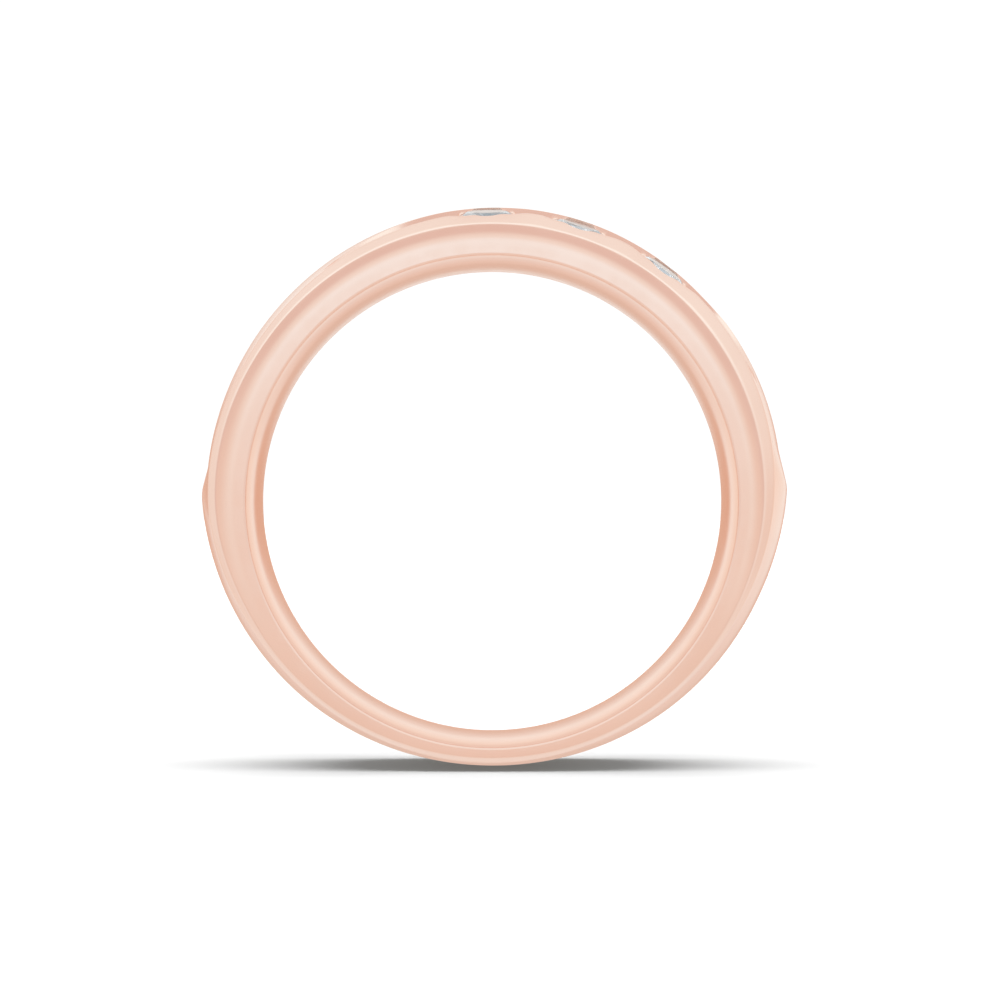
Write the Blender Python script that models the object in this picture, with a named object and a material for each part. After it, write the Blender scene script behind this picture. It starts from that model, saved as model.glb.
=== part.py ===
"""A rose-gold wedding band with two rows of three round brilliants, as separate solids.

Frame: the finger axis lies along Y, +Z points to the crown of the band, and the origin is the centre of the
finger bore at mid-width. An angle round the band is measured from the top (+Z), clockwise when seen from the
front (from -Y), so 90 degrees is the +X side. A half turn about Z carries the band onto itself: the front
of the right side is the same as the back of the left side.
"""

import math

import bmesh
import bpy
from mathutils import Matrix, Vector

MM = 0.001

# Finger bore: a comfort fit, one domed curve that is nearly flat at mid-width and rounds off at both ends.
BORE_RADIUS = 10.00 * MM
BORE_CORNER_RADIUS = 10.48 * MM
BORE_FLATNESS, BORE_ROUNDING = 2.6, 1.9
HALF_WIDTH = 4.00 * MM

# Side faces: a flat ring next to the bore, then a gentle curve out to the bevel.
SIDE_FLAT_SHARE = 0.30
SIDE_ROUNDNESS = 2.0

# Outline of the crest seen along the finger axis: one circle for the crown, and one for the shank, which is
# a little fuller than its circle between the shoulders and the bottom.
CROWN_CIRCLE = {"radius": 12.41 * MM, "x": 0.05 * MM, "z": 0.28 * MM}
SHANK_CIRCLE = {"radius": 12.69 * MM, "x": 0.04 * MM, "z": 1.275 * MM}
SHANK_FULLNESS = 0.06 * MM
SHANK_FULL_START = 100.0

# The crest swings towards the front on the right side and towards the back on the left side.
CREST_SWING = 1.20 * MM
CREST_SWING_END = 110.0
CREST_ROUNDNESS = 1.6

# Shoulder step, where the crown drops below the shank along a slanted line.
SHOULDER_ANGLE = 89.2
SHOULDER_SLANT = 1.75 / MM
SHOULDER_SWOOP = 8.0

# The two edges of the front bevel round the band: the angle, then the radius or the place along Y.
BEVEL_OUTER_RADIUS = (
    (-180, 11.04 * MM), (-150, 11.14 * MM), (-118, 11.48 * MM), (-90, 12.00 * MM), (-55, 11.99 * MM),
    (-20, 12.15 * MM), (5, 12.27 * MM), (32, 12.29 * MM), (60, 12.25 * MM), (90, 11.92 * MM),
    (118, 11.40 * MM), (150, 11.10 * MM),
)
BEVEL_INNER_RADIUS = (
    (-180, 10.84 * MM), (-118, 11.26 * MM), (-90, 11.70 * MM), (-50, 11.75 * MM), (0, 11.78 * MM),
    (50, 11.76 * MM), (86, 11.56 * MM), (118, 11.20 * MM),
)
BEVEL_OUTER_Y = (
    (-180, -3.70 * MM), (-118, -3.66 * MM), (-60, -3.52 * MM), (-22, -3.40 * MM), (10, -3.32 * MM),
    (60, -3.32 * MM), (90, -3.42 * MM), (118, -3.66 * MM),
)
BEVEL_INNER_Y = (
    (-180, -3.97 * MM), (-118, -3.95 * MM), (-75, -3.80 * MM), (0, -3.76 * MM), (75, -3.78 * MM),
    (118, -3.95 * MM),
)

# Bright-cut groove behind the front bevel, which tapers out at both ends.
GROOVE_START, GROOVE_FULL_START, GROOVE_FULL_END, GROOVE_END = -40.0, -9.0, 45.0, 69.0
GROOVE_RAIL = 0.12 * MM
GROOVE_BACK_Y = -0.75 * MM
GROOVE_DEPTH = 0.44 * MM
GROOVE_WALL = 0.10 * MM

# The rail is scooped out a little in front of each stone, so that the stone shows over it.
SCOOP_DEPTH = 0.11 * MM
SCOOP_HALF_ANGLE = 8.5

# Round brilliants, all of one size.
STONE_DIAMETER = 2.80 * MM
STONE_ANGLES = (-1.0, 17.6, 36.6)
STONE_Y = -1.97 * MM
STONE_GIRDLE_RADIUS = 12.02 * MM
STONE_TILT = math.radians(9.0)
TABLE_RATIO, GIRDLE_RATIO, STAR_REACH, LOWER_HALF_REACH = 0.60, 0.03, 0.50, 0.77
CROWN_ANGLE, PAVILION_ANGLE = math.radians(30.0), math.radians(40.8)
FACET_STEP = math.radians(22.5)

# Seats, and the grains of band metal pushed over each girdle.
WALL_CLEARANCE = 0.020 * MM
GIRDLE_CLEARANCE = 0.035 * MM
SEAT_SIDES = 24
SEAT_TOP = 0.90 * MM
CULET_RELIEF_RADIUS = 0.45 * MM
CULET_RELIEF_DEPTH = 1.50 * MM
GRAIN_RADIUS = 0.19 * MM
GRAIN_REACH = 0.10 * MM
GRAIN_HEIGHT = 0.10 * MM
GRAIN_BEARINGS = (45, 135, 225, 315)

# Fineness of the band's surface.
SECTION_STEP = 4.5
FINE_STEP = 1.5
FINE_SPANS = ((-99, -76), (76, 99))
CREST_POINTS = 5
SIDE_POINTS = 2


def clear_scene():
    for old in list(bpy.data.objects):
        bpy.data.objects.remove(old, do_unlink=True)


def material(name, colour, metallic, roughness, transmission=0.0, ior=1.5):
    made = bpy.data.materials.new(name)
    made.use_nodes = True
    shader = made.node_tree.nodes["Principled BSDF"]
    shader.inputs["Base Color"].default_value = (*colour, 1.0)
    shader.inputs["Metallic"].default_value = metallic
    shader.inputs["Roughness"].default_value = roughness
    shader.inputs["Transmission Weight"].default_value = transmission
    shader.inputs["IOR"].default_value = ior
    return made


def mesh_object(name, shape, finish=None):
    """Turns a bmesh into an object, with its faces pointing out."""
    bmesh.ops.recalc_face_normals(shape, faces=shape.faces)
    mesh = bpy.data.meshes.new(name)
    shape.to_mesh(mesh)
    shape.free()
    made = bpy.data.objects.new(name, mesh)
    bpy.context.scene.collection.objects.link(made)
    if finish:
        mesh.materials.append(finish)
    return made


def as_cutter(helper):
    """A helper body that a Boolean uses, which isn't a piece of the band."""
    helper.hide_render = True
    helper.display_type = "WIRE"
    return helper


def mix(low, high, share):
    return low + (high - low) * share


def clamp(value):
    return min(1.0, max(0.0, value))


def smooth(value):
    share = clamp(value)
    return share * share * (3 - 2 * share)


def wrapped(angle):
    """The same angle, from -180 up to 180 degrees."""
    return (angle + 180) % 360 - 180


def round_band(knots, angle):
    """Reads a smooth closed curve through the knots (angle, value) at one angle."""
    count = len(knots)
    angle = wrapped(angle)
    here = max(i for i in range(count) if knots[i][0] <= angle)
    spots = []
    for step in (-1, 0, 1, 2):
        turn, i = divmod(here + step, count)
        spots.append((knots[i][0] + 360 * turn, knots[i][1]))
    (a0, v0), (a1, v1), (a2, v2), (a3, v3) = spots
    span = a2 - a1
    start_slope = (v2 - v0) / (a2 - a0) * span
    end_slope = (v3 - v1) / (a3 - a1) * span
    t = (angle - a1) / span
    return (
        (2 * t**3 - 3 * t**2 + 1) * v1
        + (t**3 - 2 * t**2 + t) * start_slope
        + (3 * t**2 - 2 * t**3) * v2
        + (t**3 - t**2) * end_slope
    )


def outward(angle):
    """The direction away from the finger axis at an angle from the top."""
    turn = math.radians(angle)
    return Vector((math.sin(turn), 0.0, math.cos(turn)))


def circle_radius(circle, angle):
    """How far a circle about its own centre lies from the finger axis."""
    turn = math.radians(angle)
    along = circle["x"] * math.sin(turn) + circle["z"] * math.cos(turn)
    across = circle["x"] * math.cos(turn) - circle["z"] * math.sin(turn)
    return along + math.sqrt(circle["radius"] ** 2 - across**2)


def crest_y(angle):
    share = max(-1.0, min(1.0, angle / CREST_SWING_END))
    return -CREST_SWING * math.sin(math.pi * share)


def crest_radius(angle, y):
    """Crown and shank outlines, joined by the swoop of the slanted shoulder step."""
    side = 1 if angle >= 0 else -1
    step_angle = SHOULDER_ANGLE + SHOULDER_SLANT * y * side
    swoop = clamp((abs(angle) - step_angle + SHOULDER_SWOOP) / SHOULDER_SWOOP)
    crown = circle_radius(CROWN_CIRCLE, angle)
    shank = circle_radius(SHANK_CIRCLE, angle)
    below = clamp((abs(angle) - SHANK_FULL_START) / (180 - SHANK_FULL_START))
    shank += SHANK_FULLNESS * math.sin(math.pi * below) ** 2
    return mix(crown, shank, swoop**2)


def scoop(angle):
    """How far the rail is scooped out in front of the nearest stone."""
    nearest = min(abs(angle - stone_angle) for stone_angle in STONE_ANGLES)
    return SCOOP_DEPTH * smooth(2 * (1 - nearest / SCOOP_HALF_ANGLE))


def bevel(angle, front):
    """((inner y, inner radius), (outer y, outer radius)) of the bevel on one side."""
    side = 1 if front else -1
    inner = (side * round_band(BEVEL_INNER_Y, side * angle), round_band(BEVEL_INNER_RADIUS, side * angle))
    edge_radius = round_band(BEVEL_OUTER_RADIUS, side * angle) - scoop(side * angle)
    outer = (side * round_band(BEVEL_OUTER_Y, side * angle), edge_radius)
    return inner, outer


def top_radius(angle, y):
    """The domed outer surface, without its grooves, between the two bevels."""
    middle = crest_y(angle)
    edge_y, edge_radius = bevel(angle, front=y < middle)[1]
    reach = clamp((y - middle) / (edge_y - middle))
    return mix(crest_radius(angle, y), edge_radius, reach**CREST_ROUNDNESS)


def groove_share(angle):
    """0 where the groove is absent, 1 beside the stones, and the taper between."""
    rise = smooth((angle - GROOVE_START) / (GROOVE_FULL_START - GROOVE_START))
    fall = smooth((GROOVE_END - angle) / (GROOVE_END - GROOVE_FULL_END))
    return min(rise, fall)


def groove_points(angle, front):
    """Four points across one groove, from its rail to its back edge."""
    side = 1 if front else -1
    share = groove_share(side * angle)
    rail_y = bevel(angle, front)[1][0] + side * GROOVE_RAIL
    narrowest = rail_y + side * 4 * GROOVE_WALL
    back_y = mix(narrowest, side * GROOVE_BACK_Y, share)
    wall = side * GROOVE_WALL
    depth = GROOVE_DEPTH * share
    spots = ((rail_y, 0.0), (rail_y + wall, depth), (back_y - wall, depth), (back_y, 0.0))
    return [(y, top_radius(angle, y) - deep) for y, deep in spots]


def side_points(angle, front):
    """The side face from the bore corner to the bevel, truly flat at first and then curving back."""
    side = -1 if front else 1
    inner_y, inner_radius = bevel(angle, front)[0]
    flat_end = mix(BORE_CORNER_RADIUS, inner_radius, SIDE_FLAT_SHARE)
    points = [(side * HALF_WIDTH, BORE_CORNER_RADIUS)]
    for i in range(SIDE_POINTS):
        share = i / SIDE_POINTS
        y = mix(side * HALF_WIDTH, inner_y, share**SIDE_ROUNDNESS)
        points.append((y, mix(flat_end, inner_radius, share)))
    return points


def bore_points():
    """The comfort-fit bore from front to back, without the two side faces' own edges."""
    lift = BORE_CORNER_RADIUS - BORE_RADIUS
    rows = []
    for share in (-0.97, -0.88, -0.70, -0.40, 0.0, 0.40, 0.70, 0.88, 0.97):
        depth = (1 - abs(share) ** BORE_FLATNESS) ** (1 / BORE_ROUNDING)
        rows.append((share * HALF_WIDTH, BORE_CORNER_RADIUS - lift * depth))
    return rows


def section(angle):
    """The band's closed outline at one angle, as (y, radius): bore, back, top, then front."""
    front_groove = groove_points(angle, front=True)
    back_groove = groove_points(angle, front=False)
    low, high = front_groove[-1][0], back_groove[-1][0]
    crest = []
    for i in range(1, CREST_POINTS + 1):
        y = mix(high, low, i / (CREST_POINTS + 1))
        crest.append((y, top_radius(angle, y)))
    points = bore_points()
    points += side_points(angle, front=False) + list(bevel(angle, front=False))
    points += back_groove + crest + front_groove[::-1]
    points += list(bevel(angle, front=True))[::-1] + side_points(angle, front=True)[::-1]
    return points


def section_angles():
    """Where the sections lie: close together at the shoulders, further apart elsewhere."""
    angles = []
    angle = -180.0
    while angle < 180 - FINE_STEP / 2:
        angles.append(angle)
        fine = any(start <= angle < end for start, end in FINE_SPANS)
        angle += FINE_STEP if fine else SECTION_STEP
    return angles


def band_blank(finish):
    """The band before its seats are cut: sections round the finger axis, bridged into one skin."""
    shape = bmesh.new()
    rings = []
    for angle in section_angles():
        away = outward(angle)
        ring = [shape.verts.new(away * radius + Vector((0, y, 0))) for y, radius in section(angle)]
        rings.append(ring)
    for ring, following in zip(rings, rings[1:] + rings[:1]):
        for i in range(len(ring)):
            j = (i + 1) % len(ring)
            shape.faces.new((ring[i], ring[j], following[j], following[i]))
    band = mesh_object("band", shape, finish)
    band.data.shade_smooth()
    return band


def turned(shape, profile, sides, place):
    """Adds a turned solid whose profile (radius, height) runs from the bottom up, with flat ends."""
    rings = []
    for radius, height in profile:
        ring = []
        for i in range(sides):
            turn = 2 * math.pi * i / sides
            spot = Vector((radius * math.cos(turn), radius * math.sin(turn), height))
            ring.append(shape.verts.new(place @ spot))
        rings.append(ring)
    for low, high in zip(rings, rings[1:]):
        for i in range(sides):
            j = (i + 1) % sides
            shape.faces.new((low[i], low[j], high[j], high[i]))
    shape.faces.new(rings[0][::-1])
    shape.faces.new(rings[-1])


def stone_places():
    """The name of each stone and where its girdle's centre and axis lie."""
    places = {}
    for number, angle in enumerate(STONE_ANGLES, start=1):
        away = outward(angle)
        axis = away * math.cos(STONE_TILT) + Vector((0, -1, 0)) * math.sin(STONE_TILT)
        tangent = Vector((away.z, 0, -away.x))
        turn = Matrix((tangent, axis.cross(tangent), axis)).transposed().to_4x4()
        spot = away * STONE_GIRDLE_RADIUS + Vector((0, STONE_Y, 0))
        front = Matrix.Translation(spot) @ turn
        places[f"diamond_front_{number}"] = front
        places[f"diamond_back_{number}"] = Matrix.Rotation(math.pi, 4, "Z") @ front
    return places


def wall_cutter():
    """A straight-walled recess from each girdle up past the band's surface."""
    shape = bmesh.new()
    radius = STONE_DIAMETER / 2 + WALL_CLEARANCE
    for place in stone_places().values():
        turned(shape, [(radius, 0.0), (radius, SEAT_TOP)], SEAT_SIDES, place)
    return as_cutter(mesh_object("wall_cutter", shape))


def grain_tool():
    """The small round grains at four corners of each stone, raised from the groove's floor."""
    shape = bmesh.new()
    reach = STONE_DIAMETER / 2 + GRAIN_REACH
    for place in stone_places().values():
        for bearing in GRAIN_BEARINGS:
            turn = math.radians(bearing)
            spot = Vector((reach * math.cos(turn), reach * math.sin(turn), GRAIN_HEIGHT))
            matrix = place @ Matrix.Translation(spot)
            bmesh.ops.create_icosphere(shape, subdivisions=1, radius=GRAIN_RADIUS, matrix=matrix)
    return as_cutter(mesh_object("grain_tool", shape))


def seat_cutter():
    """The stone with a clearance all round, on a short blind relief under its point.

    It cuts the cone that the pavilion sits in, and trims the grains to the crown that they hold.
    """
    radius = STONE_DIAMETER / 2 + GIRDLE_CLEARANCE
    table = TABLE_RATIO * STONE_DIAMETER / 2 + GIRDLE_CLEARANCE
    ledge = GIRDLE_RATIO * STONE_DIAMETER / 2 + GIRDLE_CLEARANCE
    profile = (
        (CULET_RELIEF_RADIUS, -CULET_RELIEF_DEPTH),
        (CULET_RELIEF_RADIUS, -ledge - (radius - CULET_RELIEF_RADIUS) * math.tan(PAVILION_ANGLE)),
        (radius, -ledge),
        (radius, ledge),
        (table, ledge + (radius - table) * math.tan(CROWN_ANGLE)),
        (table, SEAT_TOP),
    )
    shape = bmesh.new()
    for place in stone_places().values():
        turned(shape, profile, SEAT_SIDES, place)
    return as_cutter(mesh_object("seat_cutter", shape))


def boolean(target, tool, operation):
    step = target.modifiers.new(tool.name, "BOOLEAN")
    step.operation = operation
    step.object = tool
    step.solver = "EXACT"
    step.use_self = False


def brilliant(finish):
    """The mesh of a round brilliant: table, 32 crown facets, girdle and 24 pavilion facets."""
    half = STONE_DIAMETER / 2
    ledge = GIRDLE_RATIO * half
    table = TABLE_RATIO * half
    table_height = ledge + (half - table) * math.tan(CROWN_ANGLE)
    table_flat = table * math.cos(FACET_STEP)
    star = mix(table_flat, half, STAR_REACH)
    star_height = table_height - (star * math.cos(FACET_STEP) - table) * math.tan(CROWN_ANGLE)
    lower = half * (1 - LOWER_HALF_REACH)
    lower_depth = -ledge - (half - lower * math.cos(FACET_STEP)) * math.tan(PAVILION_ANGLE)
    culet_depth = -ledge - half * math.tan(PAVILION_ANGLE)

    shape = bmesh.new()

    def ring(radius, height, first, count):
        step = 2 * math.pi / count
        turns = [first * FACET_STEP + step * i for i in range(count)]
        return [shape.verts.new((radius * math.cos(t), radius * math.sin(t), height)) for t in turns]

    tables = ring(table, table_height, 0, 8)
    stars = ring(star, star_height, 1, 8)
    upper_girdle = ring(half, ledge, 0, 16)
    lower_girdle = ring(half, -ledge, 0, 16)
    lowers = ring(lower, lower_depth, 1, 8)
    culet = shape.verts.new((0, 0, culet_depth))

    shape.faces.new(tables)
    for i in range(8):
        j = (i + 1) % 8
        at, between, following = 2 * i, 2 * i + 1, (2 * i + 2) % 16
        shape.faces.new((tables[i], stars[i], tables[j]))
        shape.faces.new((tables[i], stars[i - 1], upper_girdle[at], stars[i]))
        shape.faces.new((stars[i], upper_girdle[at], upper_girdle[between]))
        shape.faces.new((stars[i], upper_girdle[between], upper_girdle[following]))
        shape.faces.new((lowers[i], lower_girdle[between], lower_girdle[at]))
        shape.faces.new((lowers[i], lower_girdle[following], lower_girdle[between]))
        shape.faces.new((culet, lowers[i], lower_girdle[at], lowers[i - 1]))
    for i in range(16):
        j = (i + 1) % 16
        shape.faces.new((upper_girdle[i], lower_girdle[i], lower_girdle[j], upper_girdle[j]))

    bmesh.ops.recalc_face_normals(shape, faces=shape.faces)
    mesh = bpy.data.meshes.new("brilliant")
    shape.to_mesh(mesh)
    shape.free()
    mesh.materials.append(finish)
    return mesh


def main():
    clear_scene()
    rose_gold = material("rose_gold", (0.86, 0.53, 0.42), metallic=1.0, roughness=0.08)
    diamond = material("diamond", (1.0, 1.0, 1.0), 0.0, 0.0, transmission=1.0, ior=2.42)

    band = band_blank(rose_gold)
    boolean(band, wall_cutter(), "DIFFERENCE")
    boolean(band, grain_tool(), "UNION")
    boolean(band, seat_cutter(), "DIFFERENCE")

    cut = brilliant(diamond)
    for name, place in stone_places().items():
        stone = bpy.data.objects.new(name, cut)
        bpy.context.scene.collection.objects.link(stone)
        stone.parent = band
        stone.matrix_world = place


main()
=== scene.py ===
"""Polished rose-gold wedding band with two staggered rows of three round brilliants, in a pale studio.

The band's fine skin is built from the same driving dimensions as the CAD model, in metres, with the finger
axis along Y, +Z towards the crown, and the origin at the centre of the bore. An angle round the band runs
clockwise from the top as seen from the front (-Y).
"""

import math

import bmesh
import bpy
from mathutils import Matrix, Vector

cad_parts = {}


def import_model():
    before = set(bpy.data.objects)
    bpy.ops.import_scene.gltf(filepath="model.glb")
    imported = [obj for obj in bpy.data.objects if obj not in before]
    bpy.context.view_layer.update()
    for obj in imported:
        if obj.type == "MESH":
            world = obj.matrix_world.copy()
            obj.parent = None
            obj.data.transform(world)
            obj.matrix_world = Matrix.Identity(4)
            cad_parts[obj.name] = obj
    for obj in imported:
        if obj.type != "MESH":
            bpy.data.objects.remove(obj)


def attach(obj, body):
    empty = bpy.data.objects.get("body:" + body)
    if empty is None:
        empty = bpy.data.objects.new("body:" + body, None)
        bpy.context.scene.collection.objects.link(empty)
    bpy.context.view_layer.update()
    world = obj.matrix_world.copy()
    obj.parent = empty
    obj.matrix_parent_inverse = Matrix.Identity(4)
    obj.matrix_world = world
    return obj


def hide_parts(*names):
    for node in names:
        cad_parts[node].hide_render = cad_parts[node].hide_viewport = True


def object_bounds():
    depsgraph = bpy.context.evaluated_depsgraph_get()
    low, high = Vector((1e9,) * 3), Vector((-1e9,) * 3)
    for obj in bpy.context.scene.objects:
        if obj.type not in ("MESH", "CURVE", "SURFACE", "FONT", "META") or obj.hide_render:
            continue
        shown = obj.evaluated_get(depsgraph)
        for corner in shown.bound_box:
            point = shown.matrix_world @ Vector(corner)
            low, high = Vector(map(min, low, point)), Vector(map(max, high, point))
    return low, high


MM = 0.001

# Finger bore and side faces.
BORE_RADIUS = 10.00 * MM
BORE_CORNER_RADIUS = 10.48 * MM
BORE_FLATNESS, BORE_ROUNDING = 2.6, 1.9
BORE_EDGE_TURN = math.radians(81)
HALF_WIDTH = 4.00 * MM
SIDE_FLAT_SHARE = 0.30
SIDE_ROUNDNESS = 2.0

# Outline of the crest: crown circle, shank circle and the slanted shoulder step between them.
CROWN_CIRCLE = {"radius": 12.41 * MM, "x": 0.05 * MM, "z": 0.28 * MM}
SHANK_CIRCLE = {"radius": 12.69 * MM, "x": 0.04 * MM, "z": 1.275 * MM}
SHANK_FULLNESS = 0.06 * MM
SHANK_FULL_START = 100.0
CREST_SWING = 1.20 * MM
CREST_SWING_END = 110.0
CREST_ROUNDNESS = 1.6
SHOULDER_ANGLE = 89.2
SHOULDER_SLANT = 1.75 / MM
SHOULDER_SWOOP = 8.0
SHOULDER_SOFTNESS = 0.12

# The two edges of the front bevel: the angle, then the radius or the place along Y.
BEVEL_OUTER_RADIUS = (
    (-180, 11.04 * MM), (-150, 11.14 * MM), (-118, 11.48 * MM), (-90, 12.00 * MM), (-55, 11.99 * MM),
    (-20, 12.15 * MM), (5, 12.27 * MM), (32, 12.29 * MM), (60, 12.25 * MM), (90, 11.92 * MM),
    (118, 11.40 * MM), (150, 11.10 * MM),
)
BEVEL_INNER_RADIUS = (
    (-180, 10.84 * MM), (-118, 11.26 * MM), (-90, 11.70 * MM), (-50, 11.75 * MM), (0, 11.78 * MM),
    (50, 11.76 * MM), (86, 11.56 * MM), (118, 11.20 * MM),
)
BEVEL_OUTER_Y = (
    (-180, -3.70 * MM), (-118, -3.66 * MM), (-60, -3.52 * MM), (-22, -3.40 * MM), (10, -3.32 * MM),
    (60, -3.32 * MM), (90, -3.42 * MM), (118, -3.66 * MM),
)
BEVEL_INNER_Y = (
    (-180, -3.97 * MM), (-118, -3.95 * MM), (-75, -3.80 * MM), (0, -3.76 * MM), (75, -3.78 * MM),
    (118, -3.95 * MM),
)

# Bright-cut groove behind the front bevel.
GROOVE_START, GROOVE_FULL_START, GROOVE_FULL_END, GROOVE_END = -40.0, -9.0, 45.0, 69.0
GROOVE_RAIL = 0.12 * MM
GROOVE_BACK_Y = -0.75 * MM
GROOVE_DEPTH = 0.44 * MM
GROOVE_WALL = 0.10 * MM
SCOOP_DEPTH = 0.11 * MM
SCOOP_HALF_ANGLE = 8.5

# Rounded edges of the polished metal: how far each rounding reaches from its corner.
SIDE_EDGE_ROUND = 0.075 * MM
RAIL_EDGE_ROUND = 0.030 * MM
GROOVE_EDGE_ROUND = 0.020 * MM

# Stones and seats.
STONE_DIAMETER = 2.80 * MM
STONE_ANGLES = (-1.0, 17.6, 36.6)
STONE_Y = -1.97 * MM
STONE_GIRDLE_RADIUS = 12.02 * MM
STONE_TILT = math.radians(9.0)
TABLE_RATIO, GIRDLE_RATIO, STAR_REACH, LOWER_HALF_REACH = 0.60, 0.03, 0.50, 0.77
CROWN_ANGLE, PAVILION_ANGLE = math.radians(30.0), math.radians(40.8)
FACET_STEP = math.radians(22.5)
GIRDLE_SIDES = 96
WALL_CLEARANCE = 0.020 * MM
GIRDLE_CLEARANCE = 0.035 * MM
SEAT_SIDES = 72
SEAT_TOP = 0.90 * MM
CULET_RELIEF_RADIUS = 0.45 * MM
CULET_RELIEF_DEPTH = 1.50 * MM
GRAIN_RADIUS = 0.19 * MM
GRAIN_REACH = 0.10 * MM
GRAIN_HEIGHT = 0.10 * MM
GRAIN_BEARINGS = (45, 135, 225, 315)

# Fineness of the skin.
SECTION_STEP = 1.0
FINE_STEP = 0.4
FINE_SPANS = ((-100, -74), (74, 100))

# Edges that turn by more than this stay crisp.
BAND_CRISP = math.radians(16)
STONE_CRISP = math.radians(5)

# Camera: in front, on the finger axis but for a hair up and to the right.
CAMERA_DISTANCE = 150.0 * MM
CAMERA_X = 0.124 * MM
CAMERA_Z = 0.265 * MM
SENSOR_WIDTH = 36.0
LENS = 126.0

# Light tent: (angle away from the camera's own side in degrees, colour), read overhead, level and below.
MID = (0.94, 0.915, 0.90)
GLOW = (1.05, 1.32, 1.49)
SOFT = (0.99, 1.10, 1.15)
DARK = (0.86, 0.81, 0.82)
SHINE = (1.14, 1.46, 1.60)
HIGH = (1.02, 1.18, 1.26)
DUSK = (0.90, 0.76, 0.68)
PALE = (1.02, 1.03, 1.00)
WARM = (0.80, 0.60, 0.50)
RUST = (0.78, 0.46, 0.33)
OVERHEAD = (
    (0, GLOW), (14, GLOW), (27, SOFT), (40, DARK), (57, DARK), (63, SHINE), (75, SHINE), (84, HIGH),
    (100, HIGH), (125, MID), (148, PALE), (162, PALE), (169, DUSK), (174, WARM), (178, RUST),
)
LEVEL = (
    (0, MID), (14, SOFT), (40, MID), (54, DARK), (66, SOFT), (84, SOFT), (105, MID), (122, PALE),
    (158, PALE), (166, RUST),
)
BELOW = (
    (0, MID), (50, MID), (78, SOFT), (128, SOFT), (146, MID), (158, DUSK), (166, WARM), (174, WARM),
    (178, PALE),
)
OVERHEAD_LEVEL_BLEND = (45.0, 90.0)
LEVEL_BELOW_BLEND = (90.0, 135.0)

# How bright the room is to each kind of look: straight at it, off the metal, off the floor, and after that.
ROOM_SEEN = 1.05
TENT_GAIN = 2.0
ROOM_SOFT = 0.40
ROOM_BOUNCED = 0.50
BOUNCED_TINT = (0.60, 0.86, 1.0)
WHITE = (1.0, 1.0, 1.0)

# What the stones gather from the room: lamps and dark gaps, each tone from its share upward.
LAMP_SCALE = 4.5
LAMP_STRENGTH = 1.7
LAMP_TONES = (
    (0.0, (0.03, 0.03, 0.04)), (0.30, (0.25, 0.27, 0.28)), (0.46, (0.80, 0.84, 0.90)),
    (0.60, (0.40, 0.47, 0.43)), (0.70, (1.0, 1.0, 1.0)),
)

# Painted sparkle: each flat facet's colour holds one bright, grey or blue-white tone, scattered by the way
# the facet faces, in place of the light and dark that a cut stone reflects.
PAINTED_SPARKLE_SCALE = 4.0
PAINTED_FACET_SPARKLE = (
    (0.0, (0.38, 0.40, 0.42)), (0.38, (1.0, 1.0, 1.0)), (0.46, (0.68, 0.70, 0.71)),
    (0.50, (0.94, 0.97, 1.0)), (0.57, (0.40, 0.42, 0.44)), (0.63, (1.0, 1.0, 1.0)),
)

CEILING_HEIGHT = 0.3
CEILING_STRENGTH = 2.85
CEILING_SPREAD = math.radians(85)
FLOOR_HALF = 1.5
FLOOR_WHITE = 0.96


def mix(low, high, share):
    return low + (high - low) * share


def clamp(value):
    return min(1.0, max(0.0, value))


def smooth(value):
    share = clamp(value)
    return share * share * (3 - 2 * share)


# ---------------------------------------------------------------- the band's form


def round_band(knots, angle):
    """Reads a smooth closed curve through the knots (angle, value) at one angle."""
    count = len(knots)
    angle = (angle + 180) % 360 - 180
    here = max(i for i in range(count) if knots[i][0] <= angle)
    spots = []
    for step in (-1, 0, 1, 2):
        turn, i = divmod(here + step, count)
        spots.append((knots[i][0] + 360 * turn, knots[i][1]))
    (a0, v0), (a1, v1), (a2, v2), (a3, v3) = spots
    span = a2 - a1
    start_slope = (v2 - v0) / (a2 - a0) * span
    end_slope = (v3 - v1) / (a3 - a1) * span
    t = (angle - a1) / span
    return (
        (2 * t**3 - 3 * t**2 + 1) * v1
        + (t**3 - 2 * t**2 + t) * start_slope
        + (3 * t**2 - 2 * t**3) * v2
        + (t**3 - t**2) * end_slope
    )


def outward(angle):
    turn = math.radians(angle)
    return Vector((math.sin(turn), 0.0, math.cos(turn)))


def circle_radius(circle, angle):
    turn = math.radians(angle)
    along = circle["x"] * math.sin(turn) + circle["z"] * math.cos(turn)
    across = circle["x"] * math.cos(turn) - circle["z"] * math.sin(turn)
    return along + math.sqrt(circle["radius"] ** 2 - across**2)


def crest_y(angle):
    share = max(-1.0, min(1.0, angle / CREST_SWING_END))
    return -CREST_SWING * math.sin(math.pi * share)


def crest_radius(angle, y):
    """Crown and shank outlines, joined by the swoop of the slanted shoulder step."""
    side = 1 if angle >= 0 else -1
    step_angle = SHOULDER_ANGLE + SHOULDER_SLANT * y * side
    swoop = max(0.0, (abs(angle) - step_angle + SHOULDER_SWOOP) / SHOULDER_SWOOP) ** 2
    gap = swoop - 1
    share = 0.5 * (swoop + 1 - math.sqrt(gap * gap + SHOULDER_SOFTNESS**2))
    crown = circle_radius(CROWN_CIRCLE, angle)
    shank = circle_radius(SHANK_CIRCLE, angle)
    below = clamp((abs(angle) - SHANK_FULL_START) / (180 - SHANK_FULL_START))
    shank += SHANK_FULLNESS * math.sin(math.pi * below) ** 2
    return mix(crown, shank, max(0.0, share))


def scoop(angle):
    """How far the rail is scooped out in front of the nearest stone."""
    nearest = min(abs(angle - stone_angle) for stone_angle in STONE_ANGLES)
    return SCOOP_DEPTH * smooth(2 * (1 - nearest / SCOOP_HALF_ANGLE))


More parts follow.
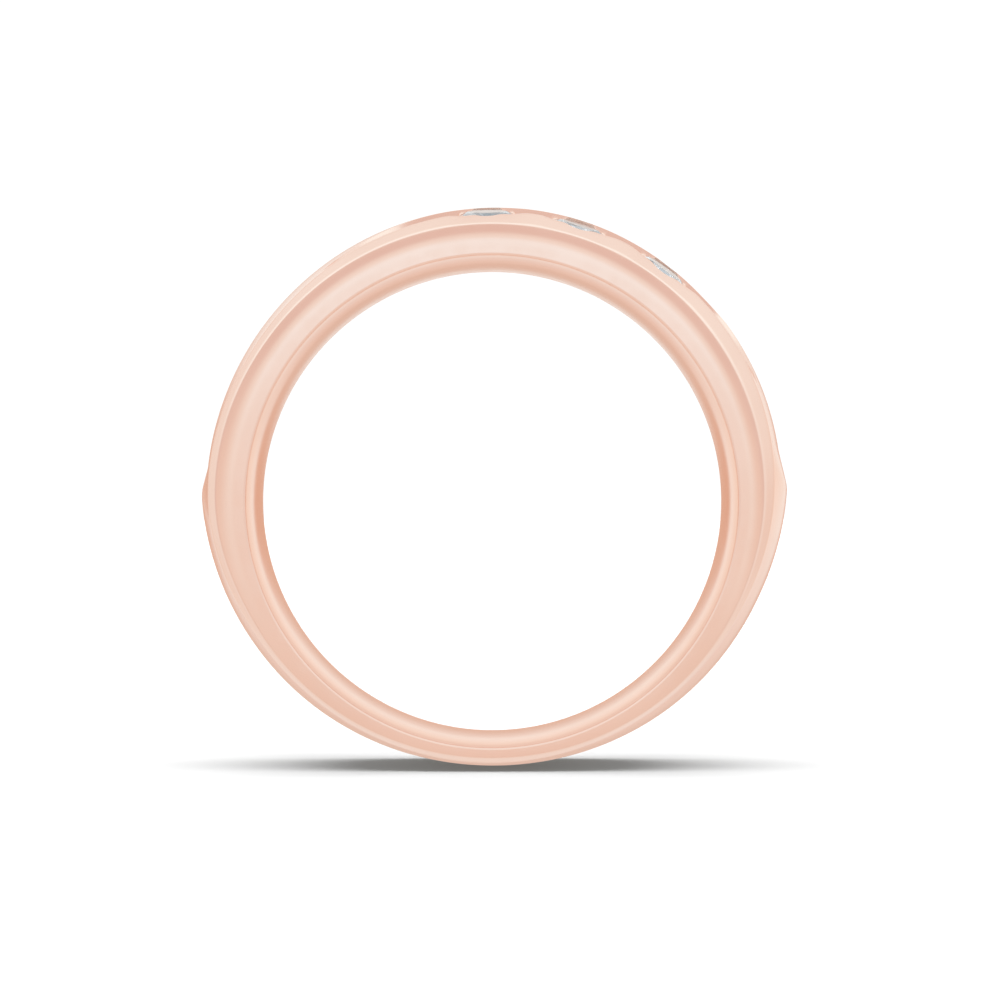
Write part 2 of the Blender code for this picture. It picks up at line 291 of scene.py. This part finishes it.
def bevel(angle, front):
    """((inner y, inner radius), (outer y, outer radius)) of the bevel on one side."""
    side = 1 if front else -1
    inner = (side * round_band(BEVEL_INNER_Y, side * angle), round_band(BEVEL_INNER_RADIUS, side * angle))
    edge_radius = round_band(BEVEL_OUTER_RADIUS, side * angle) - scoop(side * angle)
    outer = (side * round_band(BEVEL_OUTER_Y, side * angle), edge_radius)
    return inner, outer


def top_radius(angle, y, edges):
    """The domed outer surface, without its grooves; edges holds the outer bevel edges, front then back."""
    middle = crest_y(angle)
    edge_y, edge_radius = edges[0] if y < middle else edges[1]
    reach = clamp((y - middle) / (edge_y - middle))
    return mix(crest_radius(angle, y), edge_radius, reach**CREST_ROUNDNESS)


def groove_share(angle):
    rise = smooth((angle - GROOVE_START) / (GROOVE_FULL_START - GROOVE_START))
    fall = smooth((GROOVE_END - angle) / (GROOVE_END - GROOVE_FULL_END))
    return min(rise, fall)


def straight(start, end, count):
    """Points after start, up to and without end."""
    return [(mix(start[0], end[0], i / count), mix(start[1], end[1], i / count)) for i in range(1, count)]


def rounded(before, corner, after, reach):
    """Points that round a corner off, each end a reach away from it."""
    points = []
    ends = []
    steps = 3
    for other in (before, after):
        dy, dr = other[0] - corner[0], other[1] - corner[1]
        length = math.hypot(dy, dr)
        ends.append((corner[0] + dy / length * reach, corner[1] + dr / length * reach))
    for i in range(steps + 1):
        t = i / steps
        points.append(tuple(
            (1 - t) ** 2 * ends[0][k] + 2 * t * (1 - t) * corner[k] + t * t * ends[1][k] for k in (0, 1)
        ))
    return points


def bore_line():
    """The comfort-fit bore from front to back, without the two side faces' own edges."""
    lift = BORE_CORNER_RADIUS - BORE_RADIUS
    points = []
    steps = 40
    for i in range(steps + 1):
        turn = BORE_EDGE_TURN * (2 * i / steps - 1)
        share = math.sin(turn)
        depth = (1 - abs(share) ** BORE_FLATNESS) ** (1 / BORE_ROUNDING)
        points.append((share * HALF_WIDTH, BORE_CORNER_RADIUS - lift * depth))
    return points


def side_line(side, inner):
    """The side face from the bore corner out to the bevel."""
    flat_end = mix(BORE_CORNER_RADIUS, inner[1], SIDE_FLAT_SHARE)
    flat_steps = 3
    points = []
    for i in range(flat_steps):
        points.append((side * HALF_WIDTH, mix(BORE_CORNER_RADIUS, flat_end, i / flat_steps)))
    steps = 9
    for i in range(steps):
        share = i / steps
        y = mix(side * HALF_WIDTH, inner[0], share**SIDE_ROUNDNESS)
        points.append((y, mix(flat_end, inner[1], share)))
    return points


def half_top(angle, front, edges):
    """Bevel, rail and groove, from the side face's outer edge to the groove's back edge."""
    side = 1 if front else -1
    inner, outer = bevel(angle, front)
    share = groove_share(side * angle)
    rail_y = outer[0] + side * GROOVE_RAIL
    narrowest = rail_y + side * 4 * GROOVE_WALL
    back_y = mix(narrowest, side * GROOVE_BACK_Y, share)
    wall = side * GROOVE_WALL
    depth = GROOVE_DEPTH * share
    floor_start, floor_end = rail_y + wall, back_y - wall
    rail = (rail_y, top_radius(angle, rail_y, edges))
    low = (floor_start, top_radius(angle, floor_start, edges) - depth)
    far = (floor_end, top_radius(angle, floor_end, edges) - depth)
    back = (back_y, top_radius(angle, back_y, edges))
    beyond_y = back_y + wall
    beyond = (beyond_y, top_radius(angle, beyond_y, edges))
    last_side = side_line(-side, inner)[-1]

    points = rounded(last_side, inner, outer, SIDE_EDGE_ROUND)
    bevel_steps = 6
    points += straight(inner, outer, bevel_steps)[1:-1]
    points += rounded(inner, outer, rail, RAIL_EDGE_ROUND)
    points += rounded(outer, rail, low, GROOVE_EDGE_ROUND)
    points += rounded(rail, low, far, GROOVE_EDGE_ROUND)
    floor_steps = 12
    for i in range(1, floor_steps):
        y = mix(floor_start, floor_end, i / floor_steps)
        points.append((y, top_radius(angle, y, edges) - depth))
    points += rounded(low, far, back, GROOVE_EDGE_ROUND)
    points += rounded(far, back, beyond, GROOVE_EDGE_ROUND)
    return points


def section(angle):
    """The band's closed outline at one angle, as (y, radius): bore, back, top, then front."""
    front_bevel, back_bevel = bevel(angle, front=True), bevel(angle, front=False)
    edges = (front_bevel[1], back_bevel[1])
    front_top = half_top(angle, True, edges)
    back_top = half_top(angle, False, edges)
    low, high = front_top[-1][0], back_top[-1][0]
    crest = []
    steps = 22
    for i in range(1, steps):
        y = mix(high, low, i / steps)
        crest.append((y, top_radius(angle, y, edges)))
    points = bore_line() + side_line(1, back_bevel[0])
    points += back_top + crest + front_top[::-1]
    points += side_line(-1, front_bevel[0])[::-1]
    return points


def section_angles():
    angles = []
    angle = -180.0
    while angle < 180 - FINE_STEP / 2:
        angles.append(angle)
        fine = any(start <= angle < end - FINE_STEP / 2 for start, end in FINE_SPANS)
        angle += FINE_STEP if fine else SECTION_STEP
    return angles


def mesh_object(name, shape):
    bmesh.ops.recalc_face_normals(shape, faces=shape.faces)
    mesh = bpy.data.meshes.new(name)
    shape.to_mesh(mesh)
    shape.free()
    made = bpy.data.objects.new(name, mesh)
    bpy.context.scene.collection.objects.link(made)
    return made


def band_skin():
    """Fine sections round the finger axis, bridged into one closed skin."""
    shape = bmesh.new()
    rings = []
    for angle in section_angles():
        away = outward(angle)
        rings.append([shape.verts.new(away * radius + Vector((0, y, 0))) for y, radius in section(angle)])
    for ring, following in zip(rings, rings[1:] + rings[:1]):
        for i in range(len(ring)):
            j = (i + 1) % len(ring)
            shape.faces.new((ring[i], ring[j], following[j], following[i]))
    return mesh_object("rose_gold_band", shape)


# ---------------------------------------------------------------- stones, seats and grains


def stone_places():
    """The CAD node of each stone and where its girdle's centre and axis lie."""
    places = {}
    for number, angle in enumerate(STONE_ANGLES, start=1):
        away = outward(angle)
        axis = away * math.cos(STONE_TILT) + Vector((0, -1, 0)) * math.sin(STONE_TILT)
        tangent = Vector((away.z, 0, -away.x))
        turn = Matrix((tangent, axis.cross(tangent), axis)).transposed().to_4x4()
        spot = away * STONE_GIRDLE_RADIUS + Vector((0, STONE_Y, 0))
        front = Matrix.Translation(spot) @ turn
        places[f"diamond_front_{number}"] = front
        places[f"diamond_back_{number}"] = Matrix.Rotation(math.pi, 4, "Z") @ front
    return places


def turned(shape, profile, sides, place):
    """Adds a turned solid whose profile (radius, height) runs from the bottom up, with flat ends."""
    rings = []
    for radius, height in profile:
        ring = []
        for i in range(sides):
            turn = 2 * math.pi * i / sides
            spot = Vector((radius * math.cos(turn), radius * math.sin(turn), height))
            ring.append(shape.verts.new(place @ spot))
        rings.append(ring)
    for low, high in zip(rings, rings[1:]):
        for i in range(sides):
            j = (i + 1) % sides
            shape.faces.new((low[i], low[j], high[j], high[i]))
    shape.faces.new(rings[0][::-1])
    shape.faces.new(rings[-1])


def wall_cutter():
    shape = bmesh.new()
    radius = STONE_DIAMETER / 2 + WALL_CLEARANCE
    for place in stone_places().values():
        turned(shape, [(radius, 0.0), (radius, SEAT_TOP)], SEAT_SIDES, place)
    return mesh_object("wall_cutter", shape)


def grain_tool():
    shape = bmesh.new()
    reach = STONE_DIAMETER / 2 + GRAIN_REACH
    for place in stone_places().values():
        for bearing in GRAIN_BEARINGS:
            turn = math.radians(bearing)
            spot = Vector((reach * math.cos(turn), reach * math.sin(turn), GRAIN_HEIGHT))
            matrix = place @ Matrix.Translation(spot)
            bmesh.ops.create_icosphere(shape, subdivisions=3, radius=GRAIN_RADIUS, matrix=matrix)
    return mesh_object("grain_tool", shape)


def seat_cutter():
    radius = STONE_DIAMETER / 2 + GIRDLE_CLEARANCE
    table = TABLE_RATIO * STONE_DIAMETER / 2 + GIRDLE_CLEARANCE
    ledge = GIRDLE_RATIO * STONE_DIAMETER / 2 + GIRDLE_CLEARANCE
    profile = (
        (CULET_RELIEF_RADIUS, -CULET_RELIEF_DEPTH),
        (CULET_RELIEF_RADIUS, -ledge - (radius - CULET_RELIEF_RADIUS) * math.tan(PAVILION_ANGLE)),
        (radius, -ledge),
        (radius, ledge),
        (table, ledge + (radius - table) * math.tan(CROWN_ANGLE)),
        (table, SEAT_TOP),
    )
    shape = bmesh.new()
    for place in stone_places().values():
        turned(shape, profile, SEAT_SIDES, place)
    return mesh_object("seat_cutter", shape)


def cut(target, tool, operation):
    """Applies one Boolean for good and removes its tool."""
    step = target.modifiers.new(tool.name, "BOOLEAN")
    step.operation = operation
    step.object = tool
    step.solver = "EXACT"
    graph = bpy.context.evaluated_depsgraph_get()
    made = bpy.data.meshes.new_from_object(target.evaluated_get(graph))
    target.modifiers.clear()
    target.data = made
    bpy.data.objects.remove(tool)


def make_band(finish):
    band = band_skin()
    cut(band, wall_cutter(), "DIFFERENCE")
    cut(band, grain_tool(), "UNION")
    cut(band, seat_cutter(), "DIFFERENCE")
    band.data.materials.clear()
    band.data.materials.append(finish)
    band.data.shade_smooth()
    band.data.set_sharp_from_angle(angle=BAND_CRISP)
    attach(band, "root")
    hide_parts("band")


def facet_planes():
    """Each facet of a round brilliant as (a point on it, its outward normal)."""
    half = STONE_DIAMETER / 2
    ledge = GIRDLE_RATIO * half
    table = TABLE_RATIO * half
    table_height = ledge + (half - table) * math.tan(CROWN_ANGLE)
    star = mix(table * math.cos(FACET_STEP), half, STAR_REACH)
    star_height = table_height - (star * math.cos(FACET_STEP) - table) * math.tan(CROWN_ANGLE)
    lower = half * (1 - LOWER_HALF_REACH)
    lower_depth = -ledge - (half - lower * math.cos(FACET_STEP)) * math.tan(PAVILION_ANGLE)
    culet_depth = -ledge - half * math.tan(PAVILION_ANGLE)

    def spot(radius, steps, height):
        turn = steps * FACET_STEP
        return Vector((radius * math.cos(turn), radius * math.sin(turn), height))

    def through(a, b, c):
        normal = (b - a).cross(c - a).normalized()
        return (a, normal if normal.dot(a) > 0 else -normal)

    culet = Vector((0, 0, culet_depth))
    planes = [(Vector((0, 0, table_height)), Vector((0, 0, 1)))]
    for i in range(0, 16, 2):
        corner, next_corner = spot(table, i, table_height), spot(table, i + 2, table_height)
        star_tip = spot(star, i + 1, star_height)
        lower_tip = spot(lower, i + 1, lower_depth)
        planes.append(through(corner, next_corner, star_tip))
        planes.append(through(corner, spot(star, i - 1, star_height), star_tip))
        planes.append(through(culet, spot(lower, i - 1, lower_depth), lower_tip))
        for end in (i, i + 2):
            planes.append(through(star_tip, spot(half, end, ledge), spot(half, i + 1, ledge)))
            planes.append(through(lower_tip, spot(half, end, -ledge), spot(half, i + 1, -ledge)))
    return planes


def brilliant_mesh(finish):
    """A round girdle blank, ground by one plane for each facet, as a cutter would."""
    shape = bmesh.new()
    half = STONE_DIAMETER / 2
    turned(shape, [(half, -half), (half, half)], GIRDLE_SIDES, Matrix.Identity(4))
    for point, normal in facet_planes():
        everything = shape.verts[:] + shape.edges[:] + shape.faces[:]
        ground = bmesh.ops.bisect_plane(
            shape, geom=everything, dist=1e-8, plane_co=point, plane_no=normal, clear_outer=True
        )
        rim = [item for item in ground["geom_cut"] if isinstance(item, bmesh.types.BMEdge)]
        bmesh.ops.edgeloop_fill(shape, edges=rim)
    bmesh.ops.recalc_face_normals(shape, faces=shape.faces)
    mesh = bpy.data.meshes.new("brilliant")
    shape.to_mesh(mesh)
    shape.free()
    mesh.shade_smooth()
    mesh.set_sharp_from_angle(angle=STONE_CRISP)
    mesh.materials.append(finish)
    return mesh


def make_stones(finish):
    mesh = brilliant_mesh(finish)
    for node, place in stone_places().items():
        stone = bpy.data.objects.new(node.replace("diamond", "brilliant"), mesh)
        bpy.context.scene.collection.objects.link(stone)
        stone.matrix_world = place
        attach(stone, "root")
        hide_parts(node)


# ---------------------------------------------------------------- materials


def blank_material(name):
    made = bpy.data.materials.new(name)
    made.use_nodes = True
    nodes = made.node_tree.nodes
    return made, nodes, made.node_tree.links, nodes["Principled BSDF"]


def tone_ramp(nodes, links, value, interpolation, stops):
    """A colour ramp through the stops (position, colour)."""
    ramp = nodes.new("ShaderNodeValToRGB")
    ramp.color_ramp.interpolation = interpolation
    elements = ramp.color_ramp.elements
    while len(elements) < len(stops):
        elements.new(0.5)
    for element, (position, colour) in zip(elements, stops):
        element.position = position
        element.color = (*colour, 1)
    links.new(value, ramp.inputs["Fac"])
    return ramp.outputs["Color"]


def rose_gold():
    """Mirror polish with the cloudy tone, hairlines and faint orange peel of buffed cast gold."""
    made, nodes, links, shader = blank_material("rose_gold")
    shader.inputs["Metallic"].default_value = 1.0

    place = nodes.new("ShaderNodeTexCoord")

    clouds = nodes.new("ShaderNodeTexNoise")
    clouds.inputs["Scale"].default_value = 220.0
    clouds.inputs["Detail"].default_value = 3.0
    links.new(place.outputs["Object"], clouds.inputs["Vector"])
    stops = ((0.35, (0.888, 0.580, 0.460)), (0.65, (0.905, 0.600, 0.480)))
    tone = tone_ramp(nodes, links, clouds.outputs["Fac"], "LINEAR", stops)
    links.new(tone, shader.inputs["Base Color"])

    buff = nodes.new("ShaderNodeTexNoise")
    buff.inputs["Scale"].default_value = 1600.0
    buff.inputs["Detail"].default_value = 5.0
    links.new(place.outputs["Object"], buff.inputs["Vector"])
    rough = nodes.new("ShaderNodeMapRange")
    rough.inputs["From Min"].default_value = 0.3
    rough.inputs["From Max"].default_value = 0.7
    rough.inputs["To Min"].default_value = 0.13
    rough.inputs["To Max"].default_value = 0.19
    links.new(buff.outputs["Fac"], rough.inputs["Value"])
    links.new(rough.outputs["Result"], shader.inputs["Roughness"])

    stretch = nodes.new("ShaderNodeMapping")
    stretch.inputs["Scale"].default_value = (900.0, 14000.0, 900.0)
    links.new(place.outputs["Object"], stretch.inputs["Vector"])
    hairlines = nodes.new("ShaderNodeTexNoise")
    hairlines.inputs["Scale"].default_value = 1.0
    hairlines.inputs["Detail"].default_value = 4.0
    links.new(stretch.outputs["Vector"], hairlines.inputs["Vector"])
    bump = nodes.new("ShaderNodeBump")
    bump.inputs["Strength"].default_value = 0.012
    bump.inputs["Distance"].default_value = 0.00002
    links.new(hairlines.outputs["Fac"], bump.inputs["Height"])
    links.new(bump.outputs["Normal"], shader.inputs["Normal"])
    return made


def diamond():
    """Clear, colourless stone; each flat facet has one bright, grey or blue-white tone of painted sparkle
    in its colour, set by the way the facet faces.
    """
    made, nodes, links, shader = blank_material("diamond")
    facing = nodes.new("ShaderNodeNewGeometry")
    painted_sparkle_mask = nodes.new("ShaderNodeTexNoise")
    painted_sparkle_mask.inputs["Scale"].default_value = PAINTED_SPARKLE_SCALE
    painted_sparkle_mask.inputs["Detail"].default_value = 0.0
    links.new(facing.outputs["True Normal"], painted_sparkle_mask.inputs["Vector"])
    # Painted sparkle: the facet's base colour is a bright, grey or blue-white tone picked by the way it
    # faces, standing in for reflected light and shade
    tone = tone_ramp(nodes, links, painted_sparkle_mask.outputs["Fac"], "CONSTANT", PAINTED_FACET_SPARKLE)
    links.new(tone, shader.inputs["Base Color"])
    shader.inputs["Transmission Weight"].default_value = 0.65
    shader.inputs["IOR"].default_value = 2.417

    place = nodes.new("ShaderNodeTexCoord")
    haze = nodes.new("ShaderNodeTexNoise")
    haze.inputs["Scale"].default_value = 2500.0
    haze.inputs["Detail"].default_value = 4.0
    links.new(place.outputs["Object"], haze.inputs["Vector"])
    rough = nodes.new("ShaderNodeMapRange")
    rough.inputs["From Min"].default_value = 0.45
    rough.inputs["From Max"].default_value = 0.80
    rough.inputs["To Min"].default_value = 0.0
    rough.inputs["To Max"].default_value = 0.02
    links.new(haze.outputs["Fac"], rough.inputs["Value"])
    links.new(rough.outputs["Result"], shader.inputs["Roughness"])
    return made


# ---------------------------------------------------------------- studio

def math_node(nodes, links, operation, a, b=None):
    node = nodes.new("ShaderNodeMath")
    node.operation = operation
    for socket, value in zip(node.inputs, (a, b)):
        if value is None:
            continue
        if isinstance(value, (int, float)):
            socket.default_value = value
        else:
            links.new(value, socket)
    return node.outputs[0]


def wall_ramp(nodes, links, away, wall):
    """One wall's colours by the angle away from the camera's side, scaled down to what a ramp can hold."""
    stops = [(angle / 180, [channel / TENT_GAIN for channel in colour]) for angle, colour in wall]
    return tone_ramp(nodes, links, away, "EASE", stops)


def blend_by(nodes, links, value, span, first, second):
    """First below the span, second above it, and a smooth blend within it."""
    share = nodes.new("ShaderNodeMapRange")
    share.interpolation_type = "SMOOTHSTEP"
    share.inputs["From Min"].default_value = span[0]
    share.inputs["From Max"].default_value = span[1]
    links.new(value, share.inputs["Value"])
    blend = nodes.new("ShaderNodeMix")
    blend.data_type = "RGBA"
    links.new(share.outputs["Result"], blend.inputs["Factor"])
    links.new(first, blend.inputs["A"])
    links.new(second, blend.inputs["B"])
    return blend.outputs["Result"]


def sparkle(nodes, links, way):
    """What the stones gather: many small lamps and dark gaps all round."""
    lamps = nodes.new("ShaderNodeTexVoronoi")
    lamps.inputs["Scale"].default_value = LAMP_SCALE
    links.new(way, lamps.inputs["Vector"])
    parts = nodes.new("ShaderNodeSeparateColor")
    links.new(lamps.outputs["Color"], parts.inputs["Color"])
    tone = tone_ramp(nodes, links, parts.outputs["Red"], "CONSTANT", LAMP_TONES)
    return background(nodes, links, tone, LAMP_STRENGTH)


def background(nodes, links, colour, strength):
    made = nodes.new("ShaderNodeBackground")
    made.inputs["Strength"].default_value = strength
    links.new(colour, made.inputs["Color"])
    return made.outputs["Background"]


def plain_colour(nodes, colour):
    made = nodes.new("ShaderNodeRGB").outputs["Color"]
    made.default_value = (*colour, 1)
    return made


def choose(nodes, links, switch, otherwise, chosen):
    """The chosen light where the switch is 1, and the other one where it is 0."""
    mixer = nodes.new("ShaderNodeMixShader")
    links.new(switch, mixer.inputs["Fac"])
    links.new(otherwise, mixer.inputs[1])
    links.new(chosen, mixer.inputs[2])
    return mixer.outputs["Shader"]


def light_tent():
    """Soft walls of light that the polished metal mirrors, in a room that is plain white to look at."""
    world = bpy.data.worlds.new("light_tent")
    bpy.context.scene.world = world
    world.use_nodes = True
    nodes, links = world.node_tree.nodes, world.node_tree.links
    nodes.clear()
    way = nodes.new("ShaderNodeTexCoord").outputs["Generated"]
    parts = nodes.new("ShaderNodeSeparateXYZ")
    links.new(way, parts.inputs["Vector"])
    toward = math_node(nodes, links, "MULTIPLY", parts.outputs["Y"], -1.0)
    away = math_node(nodes, links, "DIVIDE", math_node(nodes, links, "ARCCOSINE", toward), math.pi)
    turn = math_node(nodes, links, "ARCTAN2", parts.outputs["X"], parts.outputs["Z"])
    bearing = math_node(nodes, links, "ABSOLUTE", math_node(nodes, links, "MULTIPLY", turn, 180 / math.pi))

    overhead = wall_ramp(nodes, links, away, OVERHEAD)
    level = wall_ramp(nodes, links, away, LEVEL)
    below = wall_ramp(nodes, links, away, BELOW)
    tent = blend_by(nodes, links, bearing, OVERHEAD_LEVEL_BLEND, overhead, level)
    tent = blend_by(nodes, links, bearing, LEVEL_BELOW_BLEND, tent, below)

    white = plain_colour(nodes, WHITE)
    ray = nodes.new("ShaderNodeLightPath").outputs
    seen = background(nodes, links, white, ROOM_SEEN)
    soft = background(nodes, links, white, ROOM_SOFT)
    walls = background(nodes, links, tent, TENT_GAIN)
    bounced = background(nodes, links, plain_colour(nodes, BOUNCED_TINT), ROOM_BOUNCED)
    after_floor = math_node(nodes, links, "GREATER_THAN", ray["Diffuse Depth"], 0.5)
    shown = choose(nodes, links, after_floor, walls, bounced)
    shown = choose(nodes, links, ray["Is Diffuse Ray"], shown, soft)
    shown = choose(nodes, links, ray["Is Transmission Ray"], shown, sparkle(nodes, links, way))
    shown = choose(nodes, links, ray["Is Camera Ray"], shown, seen)
    output = nodes.new("ShaderNodeOutputWorld")
    links.new(shown, output.inputs["Surface"])


def ceiling_light():
    """One broad soft light straight above, which draws the shadow under the band."""
    lamp = bpy.data.lights.new("ceiling_light", "SUN")
    lamp.energy = CEILING_STRENGTH
    lamp.angle = CEILING_SPREAD
    made = bpy.data.objects.new("ceiling_light", lamp)
    bpy.context.scene.collection.objects.link(made)
    made.location.z = CEILING_HEIGHT
    made.visible_glossy = False
    made.visible_transmission = False


def floor(low):
    """A plain white floor under the band, which only the camera and the soft light see."""
    shape = bmesh.new()
    bmesh.ops.create_grid(shape, x_segments=2, y_segments=2, size=FLOOR_HALF)
    ground = mesh_object("studio_floor", shape)
    ground.location.z = low
    ground.visible_glossy = False
    paint, _, _, shader = blank_material("white_floor")
    shader.inputs["Base Color"].default_value = (FLOOR_WHITE, FLOOR_WHITE, FLOOR_WHITE, 1)
    shader.inputs["Roughness"].default_value = 1.0
    shader.inputs["Specular IOR Level"].default_value = 0.0
    ground.data.materials.append(paint)


def camera():
    lens = bpy.data.cameras.new("camera")
    lens.lens = LENS
    lens.sensor_width = SENSOR_WIDTH
    lens.clip_start = 0.01
    lens.clip_end = 5.0
    made = bpy.data.objects.new("camera", lens)
    bpy.context.scene.collection.objects.link(made)
    made.location = (CAMERA_X, -CAMERA_DISTANCE, CAMERA_Z)
    made.rotation_euler = (math.radians(90), 0, 0)
    bpy.context.scene.camera = made


def main():
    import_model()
    cad_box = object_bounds()
    bpy.context.scene.view_settings.view_transform = "Standard"
    camera()
    light_tent()
    ceiling_light()
    floor(cad_box[0].z)
    make_band(rose_gold())
    make_stones(diamond())
    bpy.context.view_layer.update()


main()
